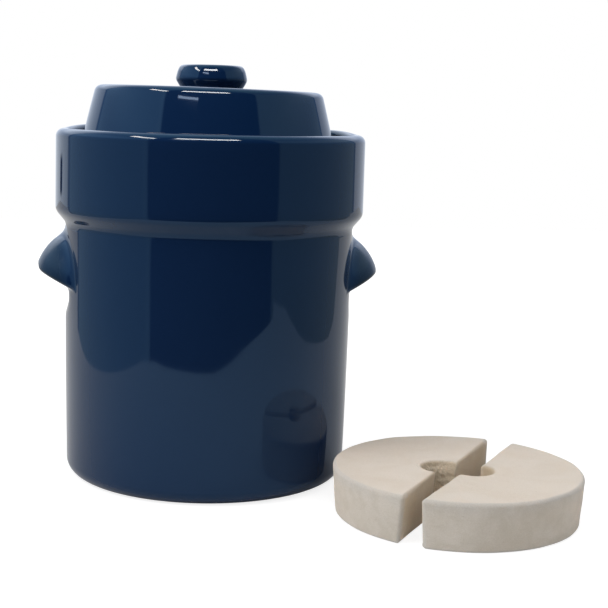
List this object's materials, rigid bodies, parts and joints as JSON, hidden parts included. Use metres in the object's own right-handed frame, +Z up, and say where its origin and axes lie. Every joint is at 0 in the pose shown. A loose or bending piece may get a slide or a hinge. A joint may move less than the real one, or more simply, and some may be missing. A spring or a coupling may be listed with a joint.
{
  "type": "water seal pickle jar",
  "caption": "Glazed stoneware fermentation crock with a gutter round its mouth, a knobbed cap lid that stands in the gutter, lug handles and half-round weights.",
  "frame": {"origin": "centre of the crock's flat foot, on the surface it stands on", "axes": "+Z up the crock's axis, +X to the right of the front view, towards the weights, -Y to the front"},
  "size_m": [0.371, 0.2968, 0.293],
  "materials": {
    "blue_glaze": "glossy dark blue glaze",
    "bare_stoneware": "unglazed, matt, fine grain"
  },
  "bodies": {
    "crock": {"crock_body": "blue_glaze", "lug_left": "blue_glaze", "lug_right": "blue_glaze"},
    "lid": {"lid": "blue_glaze", "lid_knob": "blue_glaze"},
    "left_weight": {"weight_left": "bare_stoneware"},
    "right_weight": {"weight_right": "bare_stoneware"}
  },
  "joints": [
    {"name": "lid_lift", "type": "slide", "parent": "crock", "child": "lid", "axis": [0, 0, 1], "range_m": [0, 0.12]},
    {"name": "left_weight_lift", "type": "slide", "parent": "crock", "child": "left_weight", "axis": [0, 0, 1], "range_m": [0, 0.3]},
    {"name": "right_weight_lift", "type": "slide", "parent": "crock", "child": "right_weight", "axis": [0, 0, 1], "range_m": [0, 0.3]}
  ]
}
